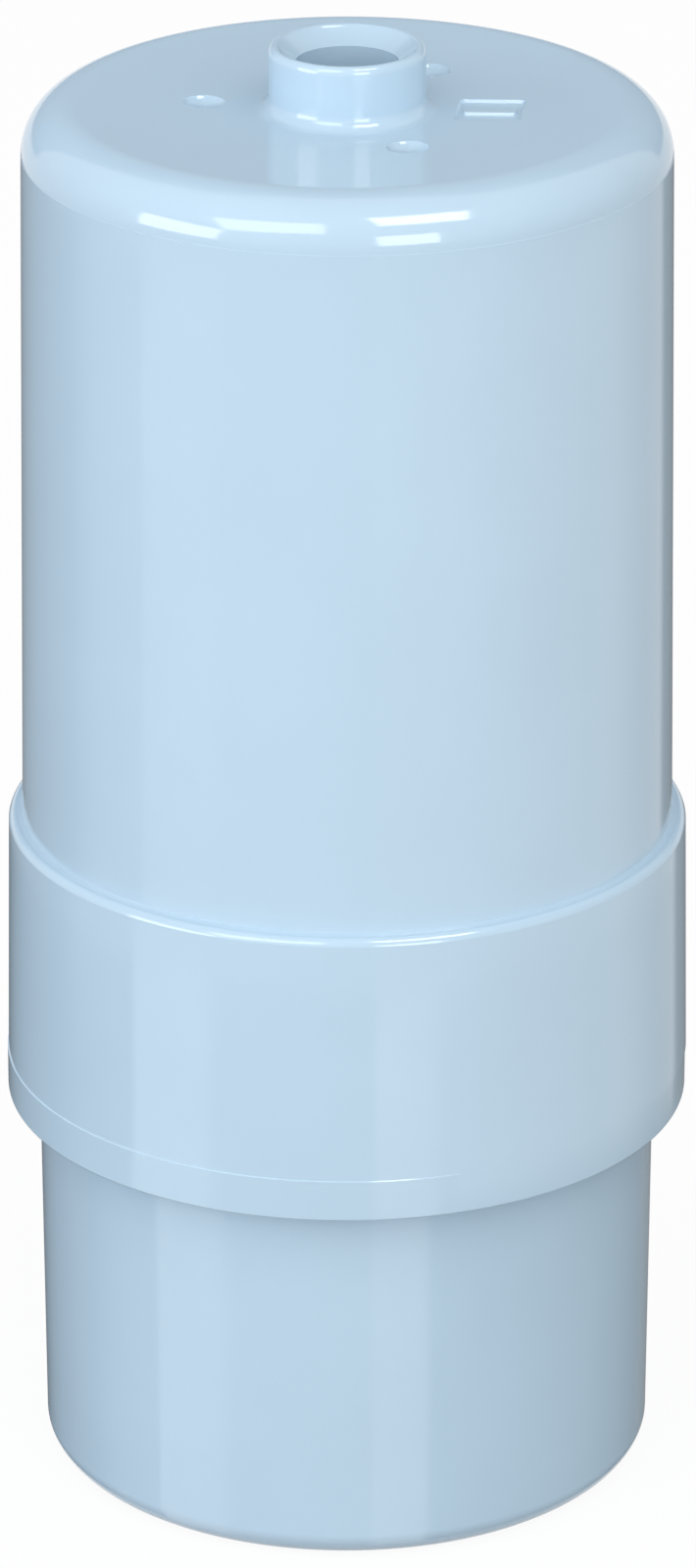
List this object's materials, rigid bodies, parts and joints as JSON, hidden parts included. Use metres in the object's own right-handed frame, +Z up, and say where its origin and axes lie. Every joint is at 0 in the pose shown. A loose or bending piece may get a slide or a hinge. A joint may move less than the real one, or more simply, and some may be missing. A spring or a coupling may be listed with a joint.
{
  "type": "water ionizer filter cartridge",
  "caption": "Sealed round water filter cartridge in pale blue gloss plastic, with a short outlet nozzle on its rounded top and a wide stepped collar above a narrower barrel foot.",
  "frame": {"origin": "centre of the foot, on the plane that the cartridge stands on", "axes": "+Z up along the turned axis to the outlet nozzle, -Y towards the pictured side"},
  "size_m": [0.0762, 0.0762, 0.1645],
  "materials": {
    "gloss_blue_abs": "glossy pale blue moulded plastic with a faint grain",
    "white_plastic": "natural white moulded plastic",
    "non_woven": "white non-woven felt",
    "sulfite_granules": "off-white granules",
    "activated_carbon": "matt black carbon",
    "hollow_fibre": "white hollow fibres",
    "potting_resin": "amber cast resin",
    "black_rubber": "black sealing rubber"
  },
  "bodies": {
    "root": {"upper_case": "gloss_blue_abs", "lower_case": "gloss_blue_abs", "inlet_pad": "non_woven", "sulfite_bed": "sulfite_granules", "middle_pad": "non_woven", "carbon_bed": "activated_carbon", "bed_pad": "non_woven", "bed_grid": "white_plastic", "lower_end_cap": "white_plastic", "upper_end_cap": "white_plastic", "carbon_block": "activated_carbon", "block_wrap": "non_woven", "membrane_case": "white_plastic", "fibre_bundle": "hollow_fibre", "fibre_potting": "potting_resin", "cap_packing": "black_rubber", "outlet_o_ring": "black_rubber"}
  },
  "joints": []
}
